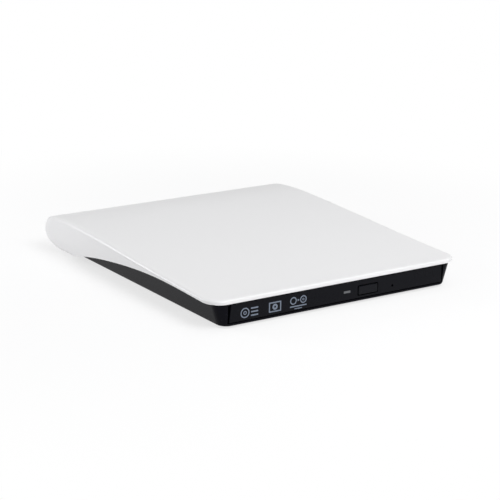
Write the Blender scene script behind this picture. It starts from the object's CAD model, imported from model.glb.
"""An external slim disc drive: finishes, small pieces, studio and camera round its CAD frame.

Lengths are in millimetres along the CAD's axes, and become metres when a piece is finished.
"""

import sys

import logging
import math
from dataclasses import dataclass
from enum import Enum
from functools import cache
from typing import ClassVar

import bmesh
import bpy
from mathutils import Matrix, Vector

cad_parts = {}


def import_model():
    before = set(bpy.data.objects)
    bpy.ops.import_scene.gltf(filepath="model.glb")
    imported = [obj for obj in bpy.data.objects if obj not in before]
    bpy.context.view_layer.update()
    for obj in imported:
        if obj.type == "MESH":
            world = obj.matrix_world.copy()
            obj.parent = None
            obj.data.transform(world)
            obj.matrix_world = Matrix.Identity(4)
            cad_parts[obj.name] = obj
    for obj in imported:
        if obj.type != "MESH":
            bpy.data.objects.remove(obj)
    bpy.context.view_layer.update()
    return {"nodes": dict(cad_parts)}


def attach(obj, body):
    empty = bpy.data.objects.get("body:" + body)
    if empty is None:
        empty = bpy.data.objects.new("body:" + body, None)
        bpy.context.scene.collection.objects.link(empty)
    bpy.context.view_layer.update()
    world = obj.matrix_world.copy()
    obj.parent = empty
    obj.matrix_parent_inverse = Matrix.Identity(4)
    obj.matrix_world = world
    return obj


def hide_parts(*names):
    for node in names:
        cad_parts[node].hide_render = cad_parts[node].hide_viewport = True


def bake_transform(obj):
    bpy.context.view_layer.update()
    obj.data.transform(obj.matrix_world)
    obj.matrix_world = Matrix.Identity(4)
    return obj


MM = 0.001
FACE_Y = -83.15
SPINDLE_Y = FACE_Y + 64.5
TRAVERSE_DEGREES = 225.0
TRAVERSE_TURN = Matrix.Rotation(math.radians(TRAVERSE_DEGREES), 4, "Z")
TRAVERSE_FRAME = Matrix.Translation((0, SPINDLE_Y, 0)) @ TRAVERSE_TURN
LOG = logging.getLogger("disc_drive")

Place = tuple[float, float, float]
Tone = tuple[int, int, int]

WHITE = (1.0, 1.0, 1.0, 1.0)
ALONG_X: Place = (0.1, 3.0, 3.0)
ALONG_Y: Place = (4.0, 0.06, 4.0)
ROUND_Z: Place = (1.0, 1.0, 5.0)
NO_STRETCH: Place = (1.0, 1.0, 1.0)


def linear(tone: Tone) -> tuple[float, float, float, float]:
    """Turn a screen colour of 0 to 255 into the linear colour that shaders take.

    Args:
        tone: red, green and blue as a screen shows them.

    Returns:
        The linear red, green and blue, with an alpha of 1.
    """

    def channel(level: int) -> float:
        """Return one channel in linear light."""
        share = level / 255
        return share / 12.92 if share <= 0.04045 else ((share + 0.055) / 1.055) ** 2.4

    red, green, blue = (channel(level) for level in tone)
    return (red, green, blue, 1.0)


class Value:
    """A number on a shader socket, which Python's signs join into Math nodes."""

    def __init__(self, nodes: "Nodes", socket: bpy.types.NodeSocket | None) -> None:
        """Keep the socket and the nodes that it belongs to."""
        self.nodes = nodes
        self.socket = socket

    def joined(self, operation: str, *terms: "Value | float") -> "Value":
        """Return a Math node of that operation on the terms."""
        return self.nodes.node("ShaderNodeMath", {"operation": operation}, dict(enumerate(terms)))

    def __add__(self, other: "Value | float") -> "Value":
        """Return self + other."""
        return self.joined("ADD", self, other)

    __radd__ = __add__

    def __sub__(self, other: "Value | float") -> "Value":
        """Return self - other."""
        return self.joined("SUBTRACT", self, other)

    def __rsub__(self, other: "Value | float") -> "Value":
        """Return other - self."""
        return self.joined("SUBTRACT", other, self)

    def __mul__(self, other: "Value | float") -> "Value":
        """Return self * other."""
        return self.joined("MULTIPLY", self, other)

    __rmul__ = __mul__

    def __pow__(self, other: "Value | float") -> "Value":
        """Return self to that power."""
        return self.joined("POWER", self, other)

    def __rpow__(self, other: float) -> "Value":
        """Return other to the power of self."""
        return self.joined("POWER", other, self)

    def __abs__(self) -> "Value":
        """Return the size without the sign."""
        return self.joined("ABSOLUTE", self)

    def repeat(self, period: float) -> "Value":
        """Return self folded into 0 to period, over and over."""
        return self.joined("FLOORED_MODULO", self, period)

    def larger(self, other: "Value | float") -> "Value":
        """Return the larger of the two."""
        return self.joined("MAXIMUM", self, other)

    def ramp(self, start: float, end: float) -> "Value":
        """Return 0 at start and 1 at end, smooth between them."""
        return self.nodes.node(
            "ShaderNodeMapRange",
            {"interpolation_type": "SMOOTHSTEP"},
            {"Value": self, "From Min": start, "From Max": end, "To Min": 0.0, "To Max": 1.0},
        )


def swing(start: Value | float, reach: float, *patterns: Value) -> Value:
    """Let a number follow patterns of 0 to 1, to both sides of its start.

    Args:
        start: the number where every pattern is at its middle.
        reach: how far one pattern moves it from its lowest to its highest.
        patterns: what the number follows.

    Returns:
        The number as it changes over the surface.
    """
    for pattern in patterns:
        start = start + (pattern - 0.5) * reach
    return start


class Nodes:
    """The nodes of a material or of the world."""

    def __init__(self, owner: bpy.types.Material | bpy.types.World) -> None:
        """Empty the owner's tree.

        Args:
            owner: the material or world whose nodes these are.
        """
        owner.use_nodes = True
        self.tree = owner.node_tree
        self.tree.nodes.clear()

    def node(self, kind: str, settings: dict, inputs: dict, output: int | str = 0) -> Value:
        """Add a node.

        Args:
            kind: the node's type.
            settings: its properties, set before its sockets.
            inputs: values or links by the socket's name or number.
            output: the socket that is wanted.

        Returns:
            That output socket as a Value, which holds none after an output node.
        """
        node = self.tree.nodes.new(kind)
        for key, setting in settings.items():
            setattr(node, key, setting)
        for key, value in inputs.items():
            socket = node.inputs[key]
            if isinstance(value, Value):
                self.tree.links.new(value.socket, socket)
            else:
                socket.default_value = value
        return Value(self, node.outputs[output] if node.outputs else None)


class Shader(Nodes):
    """One material's nodes, with its patterns measured in millimetres."""

    def __init__(self, name: str) -> None:
        """Start a material with the place on the piece as its first nodes.

        Args:
            name: the material's name.
        """
        self.material = bpy.data.materials.new(name)
        super().__init__(self.material)
        place = self.node("ShaderNodeTexCoord", {}, {}, "Object")
        self.place = self.node(
            "ShaderNodeVectorMath", {"operation": "SCALE"}, {"Vector": place, "Scale": 1 / MM}
        )

    def axes(self) -> tuple[Value, ...]:
        """Return x, y and z in millimetres."""
        parts = self.node("ShaderNodeSeparateXYZ", {}, {0: self.place})
        return tuple(Value(self, output) for output in parts.socket.node.outputs)

    def stretched(self, stretch: Place) -> Value:
        """Return the place with each axis multiplied, to draw a pattern out."""
        return self.node(
            "ShaderNodeVectorMath", {"operation": "MULTIPLY"}, {0: self.place, 1: stretch}
        )

    def noise(self, size: float, detail: float = 2.0, place: Value | None = None) -> Value:
        """Return soft noise about 0.5 whose blotches are size millimetres wide."""
        inputs = {"Vector": place or self.place, "Scale": 1 / size, "Detail": detail}
        return self.node("ShaderNodeTexNoise", {}, inputs)

    def cells(self, size: float) -> Value:
        """Return the distance from the middle of cells that are size millimetres wide."""
        inputs = {"Vector": self.place, "Scale": 1 / size}
        return self.node("ShaderNodeTexVoronoi", {"feature": "F1"}, inputs, "Distance")

    def mix(self, kind: str, share: Value | float, first: object, second: object) -> Value:
        """Join two colours.

        Args:
            kind: how the second colour works on the first.
            share: how much it does, from 0 to 1.
            first: a linear colour or a colour socket.
            second: a linear colour or a colour socket.

        Returns:
            The joined colour.
        """
        settings = {"data_type": "RGBA", "blend_type": kind}
        return self.node("ShaderNodeMix", settings, {0: share, 6: first, 7: second}, 2)

    def blend(self, share: Value, first: Tone | Value, second: Tone | Value) -> Value:
        """Return the first colour where share is 0 and the second where it is 1."""
        colours = [c if isinstance(c, Value) else linear(c) for c in (first, second)]
        return self.mix("MIX", share, *colours)

    def shaded(self, tone: Tone, share: Value) -> Value:
        """Return a colour made darker where share is under 1 and lighter where it is over 1."""
        grey = self.node("ShaderNodeCombineColor", {}, {0: share, 1: share, 2: share})
        return self.mix("MULTIPLY", 1.0, linear(tone), grey)

    def close(self, look: "Look", constants: dict) -> bpy.types.Material:
        """Join a look to a Principled shader.

        Args:
            look: what changes over the surface.
            constants: sockets of the shader that stay the same all over it.

        Returns:
            The finished material.
        """
        relief = {"Height": look.height, "Distance": look.relief * MM}
        changing = {
            "Base Color": look.colour,
            "Roughness": look.roughness,
            "Metallic": look.metallic,
            "Normal": self.node("ShaderNodeBump", {}, relief),
        }
        surface = self.node("ShaderNodeBsdfPrincipled", {}, constants | changing)
        self.node("ShaderNodeOutputMaterial", {}, {"Surface": surface})
        return self.material


@dataclass
class Look:
    """What changes over one surface, before it reaches the shader."""

    colour: Value
    roughness: Value | float
    height: Value
    relief: float
    metallic: Value | float = 0.0


@dataclass(frozen=True)
class Finish:
    """A moulded surface: a fine spark-eroded grain, slow clouds of tone and uneven gloss.

    The grain is how wide the finest marks are and the relief how deep they are, in millimetres. The
    cloud is how far the tone swings, and the gloss change how far the roughness does.
    """

    name: str
    colour: Tone
    roughness: float = 0.45
    grain: float = 0.35
    relief: float = 0.012
    cloud: float = 0.03
    gloss_change: float = 0.06
    coat: float = 0.0
    specular: float = 0.5

    CLOUD_SIZE: ClassVar[float] = 28.0
    COAT_ROUGHNESS: ClassVar[float] = 0.12

    def pattern(self, shader: Shader) -> Look:
        """Draw this finish.

        Args:
            shader: where its nodes go.

        Returns:
            What changes over the surface.
        """
        fine = shader.noise(self.grain, detail=3.0)
        clouds = shader.noise(self.CLOUD_SIZE, detail=3.0)
        return Look(
            colour=shader.shaded(self.colour, swing(1.0, self.cloud, clouds, fine)),
            roughness=swing(self.roughness, self.gloss_change, clouds, fine),
            height=fine,
            relief=self.relief,
        )

    def constants(self) -> dict:
        """Return the sockets that stay the same all over the surface."""
        return {
            "Coat Weight": self.coat,
            "Coat Roughness": self.COAT_ROUGHNESS,
            "Specular IOR Level": self.specular,
        }

    @cache
    def material(self) -> bpy.types.Material:
        """Build the material once and return it."""
        shader = Shader(f"{self.name}_finish")
        return shader.close(self.pattern(shader), self.constants())


@dataclass(frozen=True)
class RolledSheet(Finish):
    """Rolled or drawn metal: fine lines drawn out along an axis, with dull patches from handling."""

    stretch: Place = ALONG_Y

    CLOUD_SIZE: ClassVar[float] = 14.0

    def pattern(self, shader: Shader) -> Look:
        """Draw this finish.

        Args:
            shader: where its nodes go.

        Returns:
            What changes over the surface.
        """
        lines = shader.noise(self.grain, place=shader.stretched(self.stretch))
        clouds = shader.noise(self.CLOUD_SIZE, detail=3.0)
        return Look(
            colour=shader.shaded(self.colour, swing(1.0, self.cloud, lines, clouds)),
            roughness=swing(self.roughness, self.gloss_change, lines, clouds),
            height=lines,
            relief=self.relief,
            metallic=1.0,
        )


@dataclass(frozen=True)
class FrontPaintedSheet(RolledSheet):
    """Rolled steel with a black front edge, which stays dark in the gaps round the front panel."""

    paint: Tone = (12, 13, 18)
    paint_end: float = FACE_Y + 6.5
    paint_fade: float = 0.4

    def pattern(self, shader: Shader) -> Look:
        """Draw this finish.

        Args:
            shader: where its nodes go.

        Returns:
            What changes over the surface.
        """
        look = super().pattern(shader)
        _, y, _ = shader.axes()
        bare = y.ramp(self.paint_end, self.paint_end + self.paint_fade)
        look.colour = shader.blend(bare, self.paint, look.colour)
        look.metallic = bare
        return look


@dataclass(frozen=True)
class TurnedMetal(Finish):
    """Turned or plated metal seen small: bright, with fine pits and a little tarnish."""

    CLOUD_SIZE: ClassVar[float] = 2.5

    def pattern(self, shader: Shader) -> Look:
        """Draw this finish.

        Args:
            shader: where its nodes go.

        Returns:
            What changes over the surface.
        """
        fine = shader.noise(self.grain)
        patches = shader.noise(self.CLOUD_SIZE, detail=3.0)
        return Look(
            colour=shader.shaded(self.colour, swing(1.0, self.cloud, patches)),
            roughness=swing(self.roughness, self.gloss_change, patches, fine),
            height=fine,
            relief=self.relief,
            metallic=1.0,
        )


@dataclass(frozen=True)
class FoamCells(Finish):
    """Open-celled foam: small dark pores between lighter walls."""

    CLOUD_SIZE: ClassVar[float] = 4.0
    PORE_SHADE: ClassVar[float] = 0.7
    WALL_LIGHT: ClassVar[float] = 0.6

    def pattern(self, shader: Shader) -> Look:
        """Draw this finish.

        Args:
            shader: where its nodes go.

        Returns:
            What changes over the surface.
        """
        walls = shader.cells(self.grain)
        clouds = shader.noise(self.CLOUD_SIZE)
        shade = self.PORE_SHADE + walls * self.WALL_LIGHT
        return Look(
            colour=shader.shaded(self.colour, swing(shade, self.cloud, clouds)),
            roughness=self.roughness,
            height=walls,
            relief=self.relief,
        )


@dataclass(frozen=True)
class CircuitLaminate(Finish):
    """A circuit board: lacquered laminate with copper tracks under it and small tinned pads."""

    track: Tone = (52, 112, 74)
    pad: Tone = (196, 186, 150)
    flat: bool = True

    TRACK_PITCH: ClassVar[float] = 1.3
    TRACK_EDGE: ClassVar[tuple[float, float]] = (0.22, 0.3)
    TRACK_HEIGHT: ClassVar[float] = 0.5
    BEND_SIZE: ClassVar[float] = 7.0
    BEND_REACH: ClassVar[float] = 9.0
    AREA_SIZE: ClassVar[float] = 11.0
    AREA_EDGE: ClassVar[tuple[float, float]] = (0.49, 0.51)
    PAD_PITCH: ClassVar[float] = 2.6
    PAD_EDGE: ClassVar[tuple[float, float]] = (0.16, 0.2)
    PAD_GLOSS: ClassVar[float] = 0.1
    PAD_METAL: ClassVar[float] = 0.9

    def gaps(self, across: Value) -> Value:
        """Return 0 on the tracks and 1 between them, from the place across them."""
        return abs(across.repeat(self.TRACK_PITCH) - self.TRACK_PITCH / 2).ramp(*self.TRACK_EDGE)

    def pattern(self, shader: Shader) -> Look:
        """Draw this finish, with the tracks along one axis in some areas and the other elsewhere.

        Args:
            shader: where its nodes go.

        Returns:
            What changes over the surface.
        """
        x, y, z = shader.axes()
        bend = (shader.noise(self.BEND_SIZE, detail=0.0) - 0.5) * self.BEND_REACH
        area = shader.noise(self.AREA_SIZE, detail=1.0).ramp(*self.AREA_EDGE)
        second = y if self.flat else z
        gaps = (self.gaps(x + bend) * area).larger(self.gaps(second + bend) * (1 - area))
        pads = 1 - shader.cells(self.PAD_PITCH).ramp(*self.PAD_EDGE)
        lacquer = shader.blend(gaps, self.track, self.colour)
        return Look(
            colour=shader.blend(pads, lacquer, self.pad),
            roughness=self.roughness - pads * self.PAD_GLOSS,
            height=pads - gaps * self.TRACK_HEIGHT,
            relief=self.relief,
            metallic=pads * self.PAD_METAL,
        )


@dataclass(frozen=True)
class RibbonCable(Finish):
    """A flat cable: tinned conductors side by side under clear film."""

    conductor: Tone = (178, 174, 160)

    PITCH: ClassVar[float] = 0.5
    CONDUCTOR_EDGE: ClassVar[tuple[float, float]] = (0.13, 0.17)
    CONDUCTOR_GLOSS: ClassVar[float] = 0.08
    CONDUCTOR_METAL: ClassVar[float] = 0.6

    def pattern(self, shader: Shader) -> Look:
        """Draw this finish.

        Args:
            shader: where its nodes go.

        Returns:
            What changes over the surface.
        """
        x, _, _ = shader.axes()
        metal = 1 - abs(x.repeat(self.PITCH) - self.PITCH / 2).ramp(*self.CONDUCTOR_EDGE)
        return Look(
            colour=shader.blend(metal, self.colour, self.conductor),
            roughness=self.roughness - metal * self.CONDUCTOR_GLOSS,
            height=metal,
            relief=self.relief,
            metallic=metal * self.CONDUCTOR_METAL,
        )


@dataclass(frozen=True)
class ClearFinish(Finish):
    """Glass or clear plastic."""

    clearness: float = 0.9
    index: float = 1.5

    def constants(self) -> dict:
        """Return the sockets that stay the same all over the surface."""
        return super().constants() | {"Transmission Weight": self.clearness, "IOR": self.index}


class Finishes(Enum):
    """Every finish of the drive, by what it is on.

    After the colour come roughness, grain, relief, cloud, gloss change, coat and specular level.
    """

    COVER = Finish("cover_white", (238, 238, 239), 0.36, 0.5, 0.006, 0.012, 0.04, 0.15)
    BASE = Finish("base_black", (12, 12, 19), 0.24, 0.4, 0.008, 0.10, 0.08, 0.0, 0.06)
    BEZEL = Finish("bezel_black", (12, 13, 19), 0.28, 0.35, 0.008, 0.10, 0.06, 0.0, 0.09)
    BUTTON = Finish("button_black", (16, 17, 23), 0.28, 0.35, 0.008, 0.10, 0.06, 0.0, 0.12)
    FEET = Finish("foot_rubber", (38, 38, 39), 0.85, 0.6, 0.05, 0.20, 0.05, 0.0, 0.25)
    DARK_SCREW = TurnedMetal("dark_screws", (58, 58, 62), 0.38, 0.3, 0.01, 0.2, 0.1)
    FOAM = FoamCells("foam", (64, 64, 66), 0.95, 0.7, 0.2, 0.2)
    BOARD = CircuitLaminate("circuit_board", (22, 66, 44), 0.35, 0.4, 0.03)
    UPRIGHT_BOARD = CircuitLaminate(
        "circuit_board_upright", (22, 66, 44), 0.35, 0.4, 0.03, flat=False
    )
    BRIGHT_SCREW = TurnedMetal("board_screws", (176, 174, 168), 0.3, 0.3, 0.01, 0.15, 0.1)
    STEEL_SCREW = TurnedMetal("steel_screws", (160, 160, 160), 0.3, 0.3, 0.01, 0.15, 0.1)
    CHIP = Finish("chips", (30, 30, 31), 0.62, 0.2, 0.01, 0.2, 0.08, 0.0, 0.4)
    CAPACITOR = Finish("capacitors", (150, 128, 98), 0.5, 0.2, 0.004, 0.15, 0.08)
    SOCKET = RolledSheet("socket_shell", (188, 188, 186), 0.26, 0.5, 0.004, 0.10, 0.10)
    TONGUE = Finish("contact_tongue", (30, 32, 44), 0.45, 0.2, 0.004, 0.1, 0.05)
    CONNECTOR = Finish("connector", (36, 35, 34), 0.5, 0.3, 0.01, 0.12, 0.06)
    DRIVE_STEEL = FrontPaintedSheet("drive_steel", (170, 172, 174), 0.34, 0.5, 0.006, 0.10, 0.14)
    RAIL_STEEL = RolledSheet("rail_steel", (164, 166, 168), 0.3, 0.4, 0.004, 0.10, 0.12)
    GUIDE = Finish("guide", (44, 44, 46), 0.5, 0.3, 0.01, 0.1, 0.06)
    RIBBON = RibbonCable("flat_cable", (222, 214, 196), 0.34, 0.4, 0.02)
    TRAY = Finish("tray_plastic", (46, 47, 50), 0.46, 0.35, 0.015, 0.10, 0.08)
    LIGHT_PIPE = Finish("light_pipe", (92, 94, 98), 0.3, 0.5, 0.003, 0.05, 0.04, 0.2)
    LAMP = Finish("lamp", (214, 210, 190), 0.25, 0.4, 0.003, 0.06, 0.04, 0.5)
    TRAVERSE = RolledSheet(
        "traverse_steel", (158, 160, 160), 0.36, 0.5, 0.006, 0.10, 0.14, stretch=ALONG_X
    )
    TRAVERSE_COVER = Finish("traverse_cover", (34, 34, 36), 0.5, 0.3, 0.012, 0.1, 0.06)
    GROMMET = Finish("grommets", (30, 30, 30), 0.8, 0.4, 0.03, 0.2, 0.05, 0.0, 0.3)
    ROD = RolledSheet("rods", (196, 197, 198), 0.16, 0.3, 0.001, 0.05, 0.06, stretch=NO_STRETCH)
    MOTOR_PLATE = RolledSheet("motor_plate", (172, 174, 172), 0.32, 0.4, 0.005, 0.1, 0.12)
    WINDING = RolledSheet("windings", (176, 98, 48), 0.3, 0.25, 0.03, 0.2, 0.1, stretch=ROUND_Z)
    ROTOR = TurnedMetal("rotor", (178, 178, 176), 0.28, 0.5, 0.004, 0.1, 0.1)
    TURNTABLE = Finish("turntable", (38, 38, 40), 0.5, 0.3, 0.01, 0.1, 0.06)
    SEAT_RING = Finish("seat_ring", (74, 76, 80), 0.85, 0.3, 0.03, 0.15, 0.04, 0.0, 0.3)
    HUB = Finish("hub", (44, 44, 46), 0.42, 0.3, 0.008, 0.1, 0.06)
    BALLS = TurnedMetal("balls", (206, 206, 206), 0.14, 0.3, 0.0005, 0.05, 0.05)
    SLED = Finish("sled", (116, 118, 122), 0.44, 0.4, 0.02, 0.12, 0.10, 0.0, 0.6)
    PICKUP_FILM = CircuitLaminate(
        "pickup_film", (132, 78, 30), 0.34, 0.5, 0.01, track=(176, 112, 48)
    )
    MAGNET = TurnedMetal("magnets", (120, 120, 124), 0.3, 0.3, 0.003, 0.12, 0.08)
    LENS_HOLDER = Finish("lens_holder", (26, 26, 28), 0.5, 0.25, 0.006, 0.1, 0.06)
    GLASS = ClearFinish("lens_glass", (170, 196, 220), 0.03, 0.5, 0.0, 0.0, 0.0, 0.5)
    LEAD_SCREW = TurnedMetal("lead_screw", (190, 188, 184), 0.22, 0.3, 0.002, 0.1, 0.08)
    BEARING = Finish("bearing", (214, 212, 204), 0.42, 0.3, 0.006, 0.06, 0.05)
    MOTOR_CAN = RolledSheet(
        "motor_can", (168, 168, 166), 0.3, 0.3, 0.004, 0.1, 0.1, stretch=NO_STRETCH
    )
    LATCH = RolledSheet(
        "latch_steel", (160, 162, 160), 0.34, 0.4, 0.005, 0.1, 0.12, stretch=NO_STRETCH
    )
    EJECTOR = Finish("ejector_rod", (208, 206, 198), 0.42, 0.3, 0.006, 0.06, 0.05)
    SPRING = TurnedMetal("spring_wire", (172, 172, 170), 0.24, 0.2, 0.001, 0.1, 0.08)
    PRINT = Finish("sign_print", (118, 128, 144), 0.6, 0.2, 0.001, 0.06, 0.05)
    CONTACT = TurnedMetal("contacts", (204, 172, 98), 0.24, 0.2, 0.001, 0.08, 0.06)
    TIN = TurnedMetal("tinned_legs", (190, 190, 188), 0.34, 0.2, 0.004, 0.12, 0.12)


def verts_of(items: list) -> list[bmesh.types.BMVert]:
    """Return the vertices among an operator's results."""
    return [item for item in items if isinstance(item, bmesh.types.BMVert)]


class Mesh:
    """A mesh in the making, in millimetres, that ends as one piece of the drive."""

    SHARP_TURN = 0.5
    SMOOTH_TURN = math.radians(40)
    MERGE_METRES = 1e-7
    RING_SIDES = 48
    ARC_STEP = 3.0
    LEG_SHARE = 0.4
    LEG_SHEET = 0.14
    LEG_REACH = 0.7
    LEG_ROOT = -0.1
    LEG_KNEE = 0.245
    LEG_SHIN = 0.385
    COIL_STEPS = 12
    WIRE_SIDES = 6
    SHANK_SIDES = 20

    def __init__(self, name: str) -> None:
        """Start an empty mesh of that name."""
        self.name = name
        self.bm = bmesh.new()

    def bevel(
        self, geom: list, width: float, segments: int, affect: str = "EDGES", clamp: bool = False
    ) -> None:
        """Round edges or corners.

        Args:
            geom: the edges or vertices that are rounded.
            width: how far they are.
            segments: how many faces or edges go round each.
            affect: EDGES or VERTICES.
            clamp: whether two that meet stop short of each other.
        """
        bmesh.ops.bevel(
            self.bm,
            geom=geom,
            offset=width,
            affect=affect,
            segments=segments,
            profile=0.5,
            material=-1,
            clamp_overlap=clamp,
        )

    def placed(self, before: set[bmesh.types.BMVert], turn: Matrix) -> None:
        """Put what was added since the vertices before into its place."""
        added = [vert for vert in self.bm.verts if vert not in before]
        bmesh.ops.transform(self.bm, matrix=turn, verts=added)

    def close_holes(self) -> None:
        """Put a face on every open end."""
        open_edges = [edge for edge in self.bm.edges if edge.is_boundary]
        bmesh.ops.holes_fill(self.bm, edges=open_edges)

    def block(
        self, low: Place, high: Place, rounding: float = 0.0, turn: Matrix | None = None
    ) -> None:
        """Add a block.

        Args:
            low: its lowest corner.
            high: its highest corner.
            rounding: how far its edges are rounded.
            turn: a transform for the finished block.
        """
        size = Vector(high) - Vector(low)
        middle = (Vector(high) + Vector(low)) / 2
        placed = Matrix.Translation(middle) @ Matrix.Diagonal((*size, 1.0))
        made = bmesh.ops.create_cube(self.bm, size=1.0, matrix=(turn or Matrix()) @ placed)
        if rounding:
            edges = {edge for vert in made["verts"] for edge in vert.link_edges}
            sharp = [edge for edge in edges if edge.calc_face_angle(0.0) > self.SHARP_TURN]
            self.bevel(sharp, rounding, 2, clamp=True)

    def drum(self, radius: float, height: float, sides: int, turn: Matrix) -> None:
        """Add a drum.

        Args:
            radius: its radius.
            height: how far it stands up from the origin along +Z.
            sides: how many flat sides it has.
            turn: a transform for the finished drum.
        """
        bmesh.ops.create_cone(
            self.bm,
            cap_ends=True,
            segments=sides,
            radius1=radius,
            radius2=radius,
            depth=height,
            matrix=turn @ Matrix.Translation((0, 0, height / 2)),
        )

    def ring(
        self, centre: Place, inner: float, outer: float, height: float, turn: Matrix | None = None
    ) -> None:
        """Add a flat ring by turning its section about +Z.

        Args:
            centre: the middle of its underside.
            inner: the hole's radius.
            outer: the rim's radius.
            height: how thick it is.
            turn: a transform for the finished ring.
        """
        before = set(self.bm.verts)
        x, y, z = centre
        corners = [(inner, 0.0), (outer, 0.0), (outer, height), (inner, height)]
        verts = [self.bm.verts.new((x + reach, y, z + up)) for reach, up in corners]
        edges = [self.bm.edges.new((verts[i], verts[(i + 1) % 4])) for i in range(4)]
        bmesh.ops.spin(
            self.bm,
            geom=verts + edges,
            cent=centre,
            axis=(0, 0, 1),
            angle=math.tau,
            steps=self.RING_SIDES,
            use_merge=True,
        )
        if turn:
            self.placed(before, turn)

    def row(self, low: Place, size: Place, step: Place, count: int) -> None:
        """Add equal blocks in a row.

        Args:
            low: the lowest corner of the first block.
            size: the size of each block.
            step: from one block to the next.
            count: how many blocks there are.
        """
        for index in range(count):
            corner = Vector(low) + Vector(step) * index
            self.block(corner, corner + Vector(size))

    def legs(self, low: Place, high: Place, pitch: float, foot_z: float) -> None:
        """Add a chip's bent legs on all four sides.

        Args:
            low: the chip's lowest corner.
            high: the chip's highest corner.
            pitch: from one leg to the next.
            foot_z: the height of the board's face.
        """
        width = pitch * self.LEG_SHARE
        half_sheet = self.LEG_SHEET / 2
        middle = (low[2] + high[2]) / 2
        inward = self.LEG_SHEET if middle > foot_z else -self.LEG_SHEET
        bends = (
            (self.LEG_ROOT, self.LEG_SHIN, middle - half_sheet, middle + half_sheet),
            (self.LEG_KNEE, self.LEG_SHIN, middle, foot_z),
            (self.LEG_KNEE, self.LEG_REACH, foot_z, foot_z + inward),
        )
        for along in (0, 1):
            across = 1 - along
            count = int((high[along] - low[along]) / pitch) - 1
            first = (low[along] + high[along] - (count - 1) * pitch - width) / 2
            step = Vector((0, 0, 0))
            step[along] = pitch
            for edge, outward in ((low[across], -1), (high[across], 1)):
                for near, far, start_z, end_z in bends:
                    corner = Vector((0, 0, min(start_z, end_z)))
                    corner[along] = first
                    corner[across] = min(edge + outward * near, edge + outward * far)
                    size = Vector((0, 0, abs(end_z - start_z)))
                    size[along] = width
                    size[across] = far - near
                    self.row(corner, size, step, count)

    def arc(self, section: tuple[Place, ...], start: float, sweep: float, turn: Matrix) -> None:
        """Turn a closed section about +Z through part of a circle and close its ends.

        Args:
            section: the section's corners in the XZ plane.
            start: where the arc starts, in degrees from +X.
            sweep: how far it goes, in degrees.
            turn: a transform for the finished arc.
        """
        before = set(self.bm.verts)
        first = self.bm.faces.new([self.bm.verts.new(corner) for corner in section])
        about = Matrix.Rotation(math.radians(start), 3, "Z")
        bmesh.ops.rotate(self.bm, cent=(0, 0, 0), matrix=about, verts=first.verts)
        bmesh.ops.spin(
            self.bm,
            geom=list(first.verts) + list(first.edges),
            cent=(0, 0, 0),
            axis=(0, 0, 1),
            angle=math.radians(sweep),
            steps=int(sweep / self.ARC_STEP),
        )
        self.close_holes()
        self.placed(before, turn)

    def coil(self, reach: float, wire: float, pitch: float, turns: int, turn: Matrix) -> None:
        """Wind one wire round +X from the origin.

        Args:
            reach: from the axis to the middle of the wire.
            wire: half the wire's thickness.
            pitch: how far one turn moves along the axis.
            turns: how many turns there are.
            turn: a transform for the finished coil.
        """
        before = set(self.bm.verts)
        start = Matrix.Translation((0, reach, 0))
        section = bmesh.ops.create_circle(
            self.bm, cap_ends=True, segments=self.WIRE_SIDES, radius=wire, matrix=start
        )
        edges = {edge for vert in section["verts"] for edge in vert.link_edges}
        bmesh.ops.spin(
            self.bm,
            geom=section["verts"] + list(edges),
            cent=(0, 0, 0),
            axis=(1, 0, 0),
            dvec=(pitch / self.COIL_STEPS, 0, 0),
            angle=math.tau * turns,
            steps=self.COIL_STEPS * turns,
        )
        self.close_holes()
        self.placed(before, turn)

    def screw(self, head: tuple[float, float], shank: tuple[float, float], turn: Matrix) -> None:
        """Add a screw with a cross recess whose head's top is at the origin and faces +Z.

        The head is a grid of five by five faces, drawn out to a round rim and sunk at its middle.

        Args:
            head: the head's radius and height.
            shank: the shank's radius and its length under the head.
            turn: a transform for the finished screw.
        """
        radius, height = head
        shank_radius, length = shank
        rim_start, cross_end = radius * 0.9, radius * 0.5
        recess, rounding, overlap = height * 0.6, height * 0.3, height * 0.2
        before = set(self.bm.verts)
        grid = bmesh.ops.create_grid(self.bm, x_segments=5, y_segments=5, size=radius)
        faces = list({face for vert in grid["verts"] for face in vert.link_faces})
        for vert in grid["verts"]:
            if max(abs(vert.co.x), abs(vert.co.y)) > rim_start:
                vert.co = vert.co.normalized() * radius
        cross = [face for face in faces if face.calc_center_median().length < cross_end]
        sunk = bmesh.ops.extrude_face_region(self.bm, geom=cross)
        bmesh.ops.translate(self.bm, vec=(0, 0, -recess), verts=verts_of(sunk["geom"]))
        bmesh.ops.delete(self.bm, geom=cross, context="FACES")
        rim = [edge for edge in self.bm.edges if edge.is_boundary]
        side = bmesh.ops.extrude_edge_only(self.bm, edges=rim)
        bmesh.ops.translate(self.bm, vec=(0, 0, -height), verts=verts_of(side["geom"]))
        self.close_holes()
        self.bevel(rim, rounding, 2)
        foot = Matrix.Translation((0, 0, -height - length))
        self.drum(shank_radius, length + overlap, self.SHANK_SIDES, foot)
        self.placed(before, turn)

    def in_metres(self) -> None:
        """Turn the mesh from millimetres into metres."""
        bmesh.ops.scale(self.bm, vec=(MM, MM, MM), verts=self.bm.verts)

    def linked(self) -> bpy.types.Object:
        """Write the mesh and put it in the scene.

        Returns:
            Its object, which is at the origin.
        """
        mesh = bpy.data.meshes.new(self.name)
        self.bm.to_mesh(mesh)
        self.bm.free()
        made = bpy.data.objects.new(self.name, mesh)
        bpy.context.scene.collection.objects.link(made)
        return made

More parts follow.
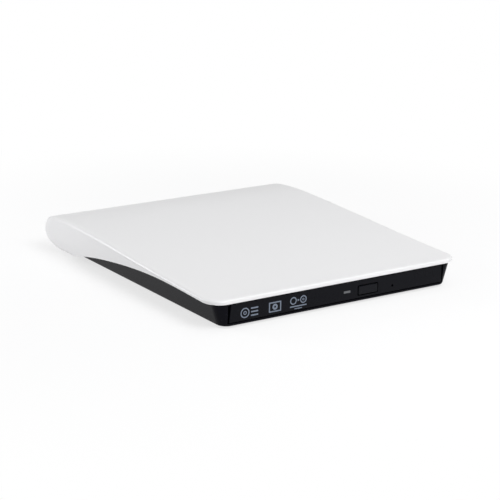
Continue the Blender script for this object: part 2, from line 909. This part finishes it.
    def piece(
        self, finish: Finishes, body: str, slot: str, replaces: tuple[str, ...] = ()
    ) -> bpy.types.Object:
        """Finish the mesh as a piece of the drive.

        Args:
            finish: the finish that it gets.
            body: the CAD body that it rides on, or an empty name where it bends between two.
            slot: the record's material slot that it takes its finish from.
            replaces: CAD nodes that it stands for.

        Returns:
            The finished object.
        """
        self.in_metres()
        bmesh.ops.remove_doubles(self.bm, verts=self.bm.verts, dist=self.MERGE_METRES)
        bmesh.ops.recalc_face_normals(self.bm, faces=self.bm.faces)
        for face in self.bm.faces:
            face.smooth = True
        for edge in self.bm.edges:
            edge.smooth = edge.calc_face_angle(0.0) < self.SMOOTH_TURN
        piece = self.linked()
        piece.data.materials.append(finish.value.material())
        if body:
            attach(piece, body)
        if replaces:
            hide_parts(*replaces)
        LOG.info("%s: %d faces on %s", self.name, len(piece.data.polygons), body or "two bodies")
        return piece


@dataclass
class Studio:
    """The floor, lamps, world and camera, with the photograph's viewpoint.

    The angles are in degrees. A lamp has a place, a width and a power in watts.
    """

    focal_pixels: float = 1668.08
    image_pixels: float = 500.0
    sensor: float = 36.0
    clip_start: float = 10.0
    pitch: float = 16.168
    yaw: float = -34.071
    roll: float = 0.98
    distance: float = 861.89
    slide_right: float = -4.70
    slide_up: float = 0.21
    aim: Place = (0.0, -13.15, 10.8)
    floor_tone: Tone = (246, 246, 247)
    floor_half: float = 6000.0
    floor_drop: float = 0.05
    floor_white: float = 0.7
    shadow_fade: tuple[float, float] = (120.0, 300.0)
    sky_strength: float = 0.37
    lamps: tuple[tuple[Place, float, float], ...] = (
        ((120.0, -500.0, 660.0), 480.0, 4.05),
        ((500.0, 0.0, 1200.0), 900.0, 3.1),
        ((-330.0, 340.0, 160.0), 160.0, 0.64),
    )

    def camera(self) -> None:
        """Place the camera where the photograph was taken from."""
        pitch, yaw, roll = (math.radians(a) for a in (self.pitch, self.yaw, self.roll))
        level = math.cos(pitch)
        back = Vector((math.sin(yaw) * level, -math.cos(yaw) * level, math.sin(pitch)))
        right = Vector((math.cos(yaw), math.sin(yaw), 0.0))
        up = back.cross(right)
        place = Vector(self.aim) + right * self.slide_right + up * self.slide_up
        place += back * self.distance
        rolled_right = right * math.cos(roll) + up * math.sin(roll)
        rolled_up = up * math.cos(roll) - right * math.sin(roll)
        turned = Matrix((rolled_right, rolled_up, back)).transposed().to_4x4()
        data = bpy.data.cameras.new("camera")
        data.sensor_width = self.sensor
        data.lens = self.focal_pixels / self.image_pixels * self.sensor
        data.clip_start = self.clip_start * MM
        camera = bpy.data.objects.new("camera", data)
        camera.matrix_world = Matrix.Translation(place * MM) @ turned
        bpy.context.scene.collection.objects.link(camera)
        bpy.context.scene.camera = camera

    def lamp(self, number: int, place: Place, size: float, power: float) -> None:
        """Hang one soft square lamp that faces the drive.

        Args:
            number: its number, for its name.
            place: where its middle is.
            size: how wide it is.
            power: how strong it is, in watts.
        """
        data = bpy.data.lights.new(f"lamp_{number}", "AREA")
        data.shape = "SQUARE"
        data.size = size * MM
        data.energy = power
        lamp = bpy.data.objects.new(f"lamp_{number}", data)
        lamp.location = Vector(place) * MM
        lamp.rotation_euler = Vector(place).to_track_quat("Z", "Y").to_euler()
        bpy.context.scene.collection.objects.link(lamp)

    def seen_directly(self, shader: Shader) -> Value:
        """Tell what is seen from what is lit.

        Args:
            shader: where the nodes go.

        Returns:
            1 for rays from the camera, mirrors and glass, and 0 for light on surfaces.
        """
        camera = shader.node("ShaderNodeLightPath", {}, {}, "Is Camera Ray")
        outputs = camera.socket.node.outputs
        glossy = Value(shader, outputs["Is Glossy Ray"])
        clear = Value(shader, outputs["Is Transmission Ray"])
        return camera.larger(glossy).larger(clear)

    def floor(self) -> None:
        """Lay a pale floor that keeps the drive's shadow near it and is white further off."""
        mesh = Mesh("floor")
        low = Matrix.Translation((0, 0, -self.floor_drop))
        bmesh.ops.create_grid(
            mesh.bm, x_segments=2, y_segments=2, size=self.floor_half, matrix=low
        )
        mesh.in_metres()
        floor = mesh.linked()
        shader = Shader("floor_white")
        x, y, _ = shader.axes()
        reach = (x * x + y * y) ** 0.5
        share = reach.ramp(*self.shadow_fade) * (1 - self.floor_white) + self.floor_white
        away = share * self.seen_directly(shader)
        lit = shader.node("ShaderNodeBsdfDiffuse", {}, {"Color": linear(self.floor_tone)})
        white = shader.node("ShaderNodeEmission", {}, {"Color": WHITE, "Strength": 1.0})
        mixed = shader.node("ShaderNodeMixShader", {}, {0: away, 1: lit, 2: white})
        shader.node("ShaderNodeOutputMaterial", {}, {"Surface": mixed})
        floor.data.materials.append(shader.material)

    def sky(self) -> None:
        """Light the scene evenly, with white where the camera looks past the floor."""
        world = bpy.data.worlds.new("studio")
        bpy.context.scene.world = world
        nodes = Nodes(world)
        camera = nodes.node("ShaderNodeLightPath", {}, {}, "Is Camera Ray")
        even, white = (
            nodes.node("ShaderNodeBackground", {}, {"Color": WHITE, "Strength": strength})
            for strength in (self.sky_strength, 1.0)
        )
        mixed = nodes.node("ShaderNodeMixShader", {}, {0: camera, 1: even, 2: white})
        nodes.node("ShaderNodeOutputWorld", {}, {"Surface": mixed})

    def build(self) -> None:
        """Make the whole studio."""
        bpy.context.scene.view_settings.view_transform = "Standard"
        self.camera()
        self.floor()
        self.sky()
        for number, (place, size, power) in enumerate(self.lamps, 1):
            self.lamp(number, place, size, power)
        LOG.info("studio: %d lamps", len(self.lamps))


class SubAssembly:
    """A part of the drive: the CAD nodes that it dresses and the small pieces that it makes."""

    DRESSED: ClassVar[dict[Finishes, tuple[str, ...]]] = {}

    def make(self) -> None:
        """Make the small pieces."""

    def build(self, nodes: dict[str, bpy.types.Object]) -> None:
        """Put the finishes in every material slot of the CAD nodes and make the small pieces.

        Args:
            nodes: every CAD node of the drive by its name.
        """
        for finish, names in self.DRESSED.items():
            for name in names:
                for slot in nodes[name].material_slots:
                    slot.material = finish.value.material()
        self.make()
        LOG.info("%s dressed", type(self).__name__)


@dataclass
class Case(SubAssembly):
    """The white cover, the black base and what holds them together.

    A row of foam pads has its middle in y and its top, and the rounding is a share of its height.
    """

    foam_side: float = 38.0
    foam_size: tuple[float, float] = (14.0, 8.0)
    foam_bottom: float = 11.9
    foam_rows: tuple[tuple[float, float], ...] = ((-45.15, 13.75), (24.85, 17.25))
    foam_round: float = 0.2
    foam_fill: float = 0.9

    DRESSED: ClassVar[dict[Finishes, tuple[str, ...]]] = {
        Finishes.COVER: ("top_cover",),
        Finishes.BASE: ("base_shell",),
        Finishes.FEET: ("rubber_feet",),
        Finishes.DARK_SCREW: ("case_screws",),
    }

    def make(self) -> None:
        """Make the four foam pads, each a little crowned and drawn in at its sides."""
        half_x, half_y = (size / 2 for size in self.foam_size)
        for row, (y, top) in enumerate(self.foam_rows, 1):
            for side, name in ((-1, "left"), (1, "right")):
                pad = Mesh(f"foam_pad_{name}_{row}")
                x = side * self.foam_side
                low = (x - half_x, y - half_y, self.foam_bottom)
                high = (x + half_x, y + half_y, top)
                pad.block(low, high, self.foam_round * (top - self.foam_bottom))
                piece = pad.piece(Finishes.FOAM, "case", "foam", ("foam_pads",))


@dataclass
class BridgeElectronics(SubAssembly):
    """The board in the roll that turns USB into the drive's own link.

    A chip is its left, front, right and rear sides, its top and its legs' pitch. A row of contacts
    is its start, pitch and count.
    """

    board_top: float = 7.2
    chips: tuple[tuple[float, float, float, float, float, float], ...] = (
        (-22.0, 61.55, -15.0, 68.55, 8.1, 0.5),
        (-9.5, 64.55, -4.5, 68.55, 8.6, 0.8),
        (14.0, 63.55, 19.0, 66.75, 8.4, 0.8),
    )
    screw_places: tuple[tuple[float, float], ...] = ((-36.0, 59.35), (36.0, 59.35))
    screw_head: tuple[float, float] = (1.6, 0.8)
    screw_shank: tuple[float, float] = (0.8, 3.0)
    can_place: tuple[float, float] = (30.0, 66.55)
    sleeve_radii: tuple[float, float] = (2.4, 2.58)
    sleeve_bottom: float = 7.7
    sleeve_height: float = 4.7
    rim_radii: tuple[float, float] = (1.8, 2.58)
    rim_bottom: float = 12.45
    rim_height: float = 0.2
    contact_rows: tuple[tuple[float, float, int], ...] = ((-4.85, 1.1, 5), (2.6, 0.58, 5))
    contact_front: float = 76.0
    contact_bottom: float = 8.98
    contact_length: float = 5.8
    contact_height: float = 0.07

    DRESSED: ClassVar[dict[Finishes, tuple[str, ...]]] = {
        Finishes.BOARD: ("usb_bridge_board", "sata_board"),
        Finishes.CHIP: ("bridge_chips",),
        Finishes.CAPACITOR: ("bridge_capacitors",),
        Finishes.SOCKET: ("usb_socket",),
        Finishes.TONGUE: ("usb_socket_tongue",),
        Finishes.CONNECTOR: ("bridge_sata_plug", "drive_sata_socket"),
    }

    def chip_legs(self) -> None:
        """Make the legs that solder the bridge's chips to their board."""
        legs = Mesh("bridge_chip_legs")
        for x0, y0, x1, y1, top, pitch in self.chips:
            legs.legs((x0, y0, self.board_top), (x1, y1, top), pitch, self.board_top)
        legs.piece(Finishes.TIN, "case", "chips")

    def screws(self) -> None:
        """Make the board's two screws with their cross recesses."""
        screws = Mesh("board_screws_cross")
        for x, y in self.screw_places:
            top = Matrix.Translation((x, y, self.board_top + self.screw_head[1]))
            screws.screw(self.screw_head, self.screw_shank, top)
        screws.piece(Finishes.BRIGHT_SCREW, "case", "board_screws", ("board_screws",))

    def can_sleeve(self) -> None:
        """Make the can capacitor's dark sleeve and the rolled edge that holds it."""
        sleeve = Mesh("can_sleeve")
        sleeve.ring((*self.can_place, self.sleeve_bottom), *self.sleeve_radii, self.sleeve_height)
        sleeve.ring((*self.can_place, self.rim_bottom), *self.rim_radii, self.rim_height)
        sleeve.piece(Finishes.CHIP, "case", "capacitors")

    def contacts(self) -> None:
        """Lay the gilded contacts on the socket's tongues."""
        contacts = Mesh("usb_contacts")
        for start, pitch, count in self.contact_rows:
            low = (start, self.contact_front, self.contact_bottom)
            size = (pitch / 2, self.contact_length, self.contact_height)
            contacts.row(low, size, (pitch, 0, 0), count)
        contacts.piece(Finishes.CONTACT, "case", "contact_tongue")

    def make(self) -> None:
        """Make the board's small pieces."""
        self.chip_legs()
        self.screws()
        self.can_sleeve()
        self.contacts()


@dataclass
class DriveShell(SubAssembly):
    """The steel pan, lid and rails of the disc drive, and its flat cable.

    The cable's places are y and z, as it is seen from the side.
    """

    cable_left: float = -7.0
    cable_right: float = 6.0
    cable_thickness: float = 0.1
    cable_low: float = 3.125
    cable_high: float = 3.875
    cable_turn_y: float = 7.85
    cable_turn_steps: int = 16
    cable_riser: tuple[float, float] = (21.775, 5.19)
    cable_ledge: tuple[float, float] = (30.175, 3.675)
    cable_rear: float = 33.34
    cable_bend: float = 0.25
    cable_bend_steps: int = 4
    blend_start: tuple[float, float] = (7.85, 3.2)
    blend_end: tuple[float, float] = (7.843, 3.4776)
    lid_screw_x: float = 60.2
    lid_screw_rows: tuple[float, float] = (-73.65, 37.35)
    lid_screw_top: float = 12.2
    lid_screw_head: tuple[float, float] = (1.5, 0.3)
    lid_screw_shank: tuple[float, float] = (0.5, 1.1)

    DRESSED: ClassVar[dict[Finishes, tuple[str, ...]]] = {
        Finishes.DRIVE_STEEL: ("drive_chassis", "drive_lid"),
        Finishes.GUIDE: ("left_rail_guide", "right_rail_guide"),
        Finishes.RAIL_STEEL: ("latch_post", "left_slide_rail", "right_slide_rail"),
    }

    def cable_line(self, cable: Mesh) -> None:
        """Draw the cable's line as the side shows it: a hairpin with an upper and a lower run.

        Args:
            cable: the mesh that gets the line.
        """
        x = self.cable_left
        turn = cable.bm.verts.new((x, self.cable_turn_y, self.cable_low))
        spun = bmesh.ops.spin(
            cable.bm,
            geom=[turn],
            cent=(x, self.cable_turn_y, (self.cable_low + self.cable_high) / 2),
            axis=(1, 0, 0),
            angle=-math.pi,
            steps=self.cable_turn_steps,
        )
        hairpin = set(cable.bm.verts)
        top = verts_of(spun["geom_last"])[0]
        upper = ((self.cable_riser[0], self.cable_high), self.cable_riser)
        lower = (
            (self.cable_ledge[0], self.cable_low),
            self.cable_ledge,
            (self.cable_rear, self.cable_ledge[1]),
        )
        for start, route in ((top, upper), (turn, lower)):
            for y, z in route:
                following = cable.bm.verts.new((x, y, z))
                cable.bm.edges.new((start, following))
                start = following
        runs = [vert for vert in cable.bm.verts if vert not in hairpin]
        corners = [vert for vert in runs if len(vert.link_edges) == 2]
        cable.bevel(corners, self.cable_bend, self.cable_bend_steps, affect="VERTICES")

    def flat_cable(self) -> None:
        """Make the flat cable: along the floor, round a hairpin and up to the tray's board."""
        cable = Mesh("flat_cable")
        self.cable_line(cable)
        swept = bmesh.ops.extrude_edge_only(cable.bm, edges=cable.bm.edges[:])
        across = (self.cable_right - self.cable_left, 0, 0)
        bmesh.ops.translate(cable.bm, vec=across, verts=verts_of(swept["geom"]))
        bmesh.ops.recalc_face_normals(cable.bm, faces=cable.bm.faces)
        bmesh.ops.solidify(cable.bm, geom=cable.bm.faces[:], thickness=self.cable_thickness)
        piece = cable.piece(Finishes.RIBBON, "", "flat_cable", ("flex_cable",))
        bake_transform(piece)

    def lid_screws(self) -> None:
        """Make the lid's four flat screws with their cross recesses."""
        screws = Mesh("lid_screws_cross")
        for x in (-self.lid_screw_x, self.lid_screw_x):
            for y in self.lid_screw_rows:
                top = Matrix.Translation((x, y, self.lid_screw_top))
                screws.screw(self.lid_screw_head, self.lid_screw_shank, top)
        screws.piece(Finishes.STEEL_SCREW, "case", "steel_screws", ("drive_screws",))

    def make(self) -> None:
        """Make the flat cable and the lid's screws."""
        self.flat_cable()
        self.lid_screws()


@dataclass(frozen=True)
class FrontSign:
    """One plain printed sign: discs, bars and arrows as thin layers of print.

    From the sign's middle, a disc is its x, height, hole and rim, a bar its left, lower, right and
    upper sides, and an arrow its x, height and reach.
    """

    name: str
    middle: tuple[float, float]
    discs: tuple[tuple[float, float, float, float], ...] = ()
    bars: tuple[tuple[float, float, float, float], ...] = ()
    arrows: tuple[tuple[float, float, float], ...] = ()
    layer: float = 0.03
    sunk: float = 0.02

    def build(self) -> None:
        """Print the sign on the front panel, each mark a little raised."""
        marks = Mesh(self.name)
        height = self.layer + self.sunk
        for x, y, inner, outer in self.discs:
            marks.ring((x, y, -self.sunk), inner, outer, height)
        for x0, y0, x1, y1 in self.bars:
            marks.block((x0, y0, -self.sunk), (x1, y1, self.layer))
        to_right = Matrix.Rotation(-math.pi / 2, 4, "Z")
        for x, y, reach in self.arrows:
            marks.drum(reach, height, 3, Matrix.Translation((x, y, -self.sunk)) @ to_right)
        x, z = self.middle
        upright = Matrix.Rotation(math.pi / 2, 4, "X")
        marks.placed(set(), Matrix.Translation((x, FACE_Y, z)) @ upright)
        marks.piece(Finishes.PRINT, "tray", "bezel_black")


@dataclass
class Tray(SubAssembly):
    """The sliding tray with its front panel, boards and latch.

    A chip is its left, front, right and rear sides and its legs' pitch. A row of small parts is its
    start in x and y and its count.
    """

    board_face: float = 5.2
    chip_bottom: float = 4.2
    chips: tuple[tuple[float, float, float, float, float], ...] = (
        (34.0, -25.15, 48.0, -11.15, 0.8),
        (36.0, 0.85, 45.0, 8.85, 0.8),
        (40.0, -41.15, 48.0, -35.15, 0.8),
        (52.0, 16.85, 56.0, 20.85, 0.65),
    )
    small_parts: tuple[tuple[float, float, int], ...] = (
        (33.0, -30.0, 6),
        (50.0, -30.0, 3),
        (33.0, 12.5, 7),
        (30.5, -6.5, 5),
        (50.0, 3.0, 3),
        (10.0, 16.0, 8),
        (36.0, 27.0, 7),
    )
    part_pitch: float = 2.0
    part_size: Place = (0.9, 1.0, 0.55)
    part_bottom: float = 4.7
    end_size: Place = (1.0, 0.3, 0.6)
    end_bottom: float = 4.65
    end_overhang: float = 0.05
    end_steps: tuple[float, float] = (-0.25, 0.95)
    coil_start: Place = (45.9, -71.15, 5.05)
    coil_reach: float = 1.2
    coil_wire: float = 0.11
    coil_pitch: float = 0.26
    coil_turns: int = 39
    rib_radius: float = 40.6
    rib_width: float = 0.7
    rib_bottom: float = 8.05
    rib_top: float = 8.35
    rib_slope: float = 0.125
    rib_gap: float = 36.0
    signs: tuple[FrontSign, ...] = (
        FrontSign(
            "front_sign_left",
            (-52.7, 6.2),
            discs=((-2.5, 0.0, 1.95, 2.5), (-2.5, 0.0, 0.5, 0.95)),
            bars=((0.8, 1.4, 4.9, 2.1), (0.8, -0.35, 4.9, 0.35), (0.8, -2.1, 4.9, -1.4)),
        ),
        FrontSign(
            "front_sign_middle",
            (-38.2, 6.4),
            discs=((0.0, 0.0, 0.55, 1.5),),
            bars=(
                (-3.5, 1.9, 3.5, 2.5),
                (-3.5, -2.5, 3.5, -1.9),
                (-3.5, -1.9, -2.9, 1.9),
                (2.9, -1.9, 3.5, 1.9),
            ),
        ),
        FrontSign(
            "front_sign_right",
            (-24.7, 6.5),
            discs=((-2.9, 1.0, 1.35, 1.9), (2.9, 1.0, 1.35, 1.9), (2.9, 1.0, 0.3, 0.6)),
            bars=((-4.8, -2.2, 4.8, -1.6), (-2.2, -3.3, 2.2, -2.9)),
            arrows=((-0.1, 1.0, 0.75),),
        ),
    )

    DRESSED: ClassVar[dict[Finishes, tuple[str, ...]]] = {
        Finishes.TRAY: ("tray",),
        Finishes.BEZEL: ("tray_bezel",),
        Finishes.BUTTON: ("eject_button", "button_spring"),
        Finishes.LIGHT_PIPE: ("led_window",),
        Finishes.LAMP: ("led_lamp",),
        Finishes.UPRIGHT_BOARD: ("button_board",),
        Finishes.CONNECTOR: ("tact_switch",),
        Finishes.BOARD: ("drive_main_board",),
        Finishes.CHIP: ("drive_chips",),
        Finishes.LATCH: ("latch_solenoid", "latch_lever"),
        Finishes.EJECTOR: ("ejector_plunger",),
        Finishes.SPRING: ("ejector_spring",),
    }

    def chip_legs(self) -> None:
        """Make the legs of the chips that hang under the tray's board."""
        legs = Mesh("drive_chip_legs")
        for x0, y0, x1, y1, pitch in self.chips:
            low = (x0, y0, self.chip_bottom)
            legs.legs(low, (x1, y1, self.board_face), pitch, self.board_face)
        legs.piece(Finishes.TIN, "tray", "chips")

    def board_parts(self) -> None:
        """Make the small resistors and capacitors under the board, with their tinned ends."""
        bodies = Mesh("board_small_parts")
        ends = Mesh("board_small_ends")
        pitch = (self.part_pitch, 0, 0)
        for x, y, count in self.small_parts:
            bodies.row((x, y, self.part_bottom), self.part_size, pitch, count)
            for step in self.end_steps:
                low = (x - self.end_overhang, y + step, self.end_bottom)
                ends.row(low, self.end_size, pitch, count)
        bodies.piece(Finishes.CAPACITOR, "tray", "capacitors")
        ends.piece(Finishes.TIN, "tray", "chips")

    def solenoid_coil(self) -> None:
        """Wind the latch solenoid's copper wire."""
        coil = Mesh("solenoid_coil")
        place = Matrix.Translation(self.coil_start)
        coil.coil(self.coil_reach, self.coil_wire, self.coil_pitch, self.coil_turns, place)
        coil.piece(Finishes.WINDING, "tray", "windings")

    def small_disc_rib(self) -> None:
        """Raise the low rib in the tray's recess that centres a small disc."""
        rib = Mesh("small_disc_rib")
        inner = self.rib_radius - self.rib_width
        section = (
            (inner, 0, self.rib_bottom),
            (self.rib_radius, 0, self.rib_bottom),
            (self.rib_radius - self.rib_slope, 0, self.rib_top),
            (inner + self.rib_slope, 0, self.rib_top),
        )
        start = TRAVERSE_DEGREES + self.rib_gap
        middle = Matrix.Translation((0, SPINDLE_Y, 0))
        rib.arc(section, start, 360 - 2 * self.rib_gap, middle)
        rib.piece(Finishes.TRAY, "tray", "tray_plastic")

    def make(self) -> None:
        """Make the signs and the tray's small pieces."""
        for sign in self.signs:
            sign.build()
        self.chip_legs()
        self.board_parts()
        self.solenoid_coil()
        self.small_disc_rib()


@dataclass
class Traverse(SubAssembly):
    """The frame that carries the spindle motor and the pickup.

    Its places are u along the pickup's way out from the spindle, v to the left of it, and the
    height. A pole's coil is its reach, half wire, pitch and turns.
    """

    poles: int = 9
    pole_start: float = 4.7
    pole_z: float = 6.15
    pole_coil: tuple[float, float, float, int] = (1.2, 0.14, 0.36, 10)
    pole_flatness: Place = (1.0, 1.08, 0.66)
    ears: tuple[tuple[float, float], ...] = (
        (-12.0, -18.6),
        (-12.0, 20.0),
        (40.0, -18.6),
        (40.0, 20.0),
    )
    ear_screw_bottom: float = 3.35
    ear_screw_head: tuple[float, float] = (1.4, 0.35)
    ear_screw_shank: tuple[float, float] = (0.6, 3.5)
    lens_u: float = 24.0
    block_low: Place = (20.3, -6.0, 5.05)
    block_high: Place = (27.7, -5.3, 6.9)
    block_round: float = 0.12
    wire_sides: tuple[float, float] = (20.7, 27.3)
    wire_heights: tuple[float, float] = (5.9, 6.5)
    wire_start: float = -5.5
    wire_end: float = -3.1
    wire_radius: float = 0.08
    wire_faces: int = 10
    wire_grip: float = 0.2
    holder_half: float = 2.9
    holder_ear_overhang: float = 0.15
    holder_ear_reach: float = 0.5
    holder_ear_round: float = 0.06
    lens_ring_bottom: float = 6.75
    lens_ring_radii: tuple[float, float] = (2.02, 2.5)
    lens_ring_height: float = 0.2
    focus_side: float = 3.1
    focus_z: float = 6.2
    focus_oval: Place = (0.5, 2.1, 1.0)
    focus_radii: tuple[float, float] = (0.6, 1.0)
    focus_height: float = 0.24

    DRESSED: ClassVar[dict[Finishes, tuple[str, ...]]] = {
        Finishes.TRAVERSE: ("traverse_frame",),
        Finishes.TRAVERSE_COVER: ("traverse_cover",),
        Finishes.GROMMET: ("damper_grommets",),
        Finishes.MOTOR_PLATE: ("spindle_motor_base", "stator_core"),
        Finishes.ROD: ("guide_rods",),
        Finishes.MOTOR_CAN: ("sled_motor",),
        Finishes.BEARING: ("screw_bearing",),
        Finishes.ROTOR: ("motor_rotor",),
        Finishes.TURNTABLE: ("turntable",),
        Finishes.SEAT_RING: ("disc_seat_ring",),
        Finishes.HUB: ("centring_hub",),
        Finishes.BALLS: ("chucking_balls",),
        Finishes.SLED: ("pickup_sled",),
        Finishes.PICKUP_FILM: ("pickup_board",),
        Finishes.MAGNET: ("lens_magnets",),
        Finishes.LENS_HOLDER: ("lens_holder",),
        Finishes.GLASS: ("objective_lens",),
        Finishes.LEAD_SCREW: ("lead_screw",),
    }

    def pole_windings(self) -> None:
        """Wind copper wire round the stator's nine poles."""
        windings = Mesh("stator_windings")
        middle = Matrix.Translation((0, SPINDLE_Y, self.pole_z))
        start = Matrix.Translation((self.pole_start, 0, 0))
        flat = Matrix.Diagonal((*self.pole_flatness, 1.0))
        for index in range(self.poles):
            about = Matrix.Rotation(math.tau * index / self.poles, 4, "Z")
            windings.coil(*self.pole_coil, middle @ about @ start @ flat)
        windings.piece(Finishes.WINDING, "tray", "windings")

    def ear_screws(self) -> None:
        """Make the screws through the grommets, their cross recesses facing down."""
        screws = Mesh("traverse_screws_cross")
        down = Matrix.Rotation(math.pi, 4, "X")
        for u, v in self.ears:
            place = TRAVERSE_FRAME @ Matrix.Translation((u, v, self.ear_screw_bottom))
            screws.screw(self.ear_screw_head, self.ear_screw_shank, place @ down)
        screws.piece(Finishes.STEEL_SCREW, "tray", "steel_screws", ("traverse_screws",))

    def suspension_block(self) -> None:
        """Make the block at the side of the pickup's well that the lens's wires start from."""
        block = Mesh("suspension_block")
        block.block(self.block_low, self.block_high, self.block_round, TRAVERSE_FRAME)
        block.piece(Finishes.LENS_HOLDER, "sled", "lens_holder")

    def lens_suspension(self) -> None:
        """Hang the lens holder on four wires by an ear on each side."""
        wires = Mesh("suspension_wires")
        ears = Mesh("suspension_ears")
        low_z, high_z = self.wire_heights
        grip = self.wire_grip
        lie = Matrix.Rotation(-math.pi / 2, 4, "X")
        for u in self.wire_sides:
            for z in self.wire_heights:
                place = TRAVERSE_FRAME @ Matrix.Translation((u, self.wire_start, z)) @ lie
                wires.drum(
                    self.wire_radius, self.wire_end - self.wire_start, self.wire_faces, place
                )
            inner = self.lens_u - math.copysign(self.holder_half, self.lens_u - u)
            left = min(u - self.holder_ear_overhang, inner)
            right = max(u + self.holder_ear_overhang, inner)
            ears.block(
                (left, self.wire_end - grip, low_z - grip),
                (right, self.wire_end + self.holder_ear_reach, high_z + grip),
                self.holder_ear_round,
                TRAVERSE_FRAME,
            )
        bent = wires.piece(Finishes.TIN, "", "spring_wire")
        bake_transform(bent)
        ears.piece(Finishes.TIN, "lens", "lens_holder")

    def lens_ring(self) -> None:
        """Make the lens's bright ring."""
        ring = Mesh("lens_ring")
        bottom = (self.lens_u, 0, self.lens_ring_bottom)
        ring.ring(bottom, *self.lens_ring_radii, self.lens_ring_height, TRAVERSE_FRAME)
        ring.piece(Finishes.SPRING, "lens", "lens_holder")

    def focus_coils(self) -> None:
        """Make the two flat coils that face the magnets."""
        coils = Mesh("focus_coils")
        upright = Matrix.Rotation(math.pi / 2, 4, "Y")
        oval = Matrix.Diagonal((*self.focus_oval, 1.0))
        bottom = (0, 0, -self.focus_height / 2)
        for u in (self.lens_u - self.focus_side, self.lens_u + self.focus_side):
            place = TRAVERSE_FRAME @ Matrix.Translation((u, 0, self.focus_z)) @ upright @ oval
            coils.ring(bottom, *self.focus_radii, self.focus_height, place)
        coils.piece(Finishes.WINDING, "lens", "windings")

    def make(self) -> None:
        """Make the windings, the screws and the pickup's small pieces."""
        self.pole_windings()
        self.ear_screws()
        self.suspension_block()
        self.lens_suspension()
        self.lens_ring()
        self.focus_coils()


def main() -> None:
    """Load the frame, then build the studio and each sub-assembly in order."""
    logging.basicConfig(level=logging.INFO, format="%(message)s", stream=sys.stdout)
    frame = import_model()
    Studio().build()
    for assembly in (Case(), BridgeElectronics(), DriveShell(), Tray(), Traverse()):
        assembly.build(frame["nodes"])


if __name__ == "__main__":
    main()
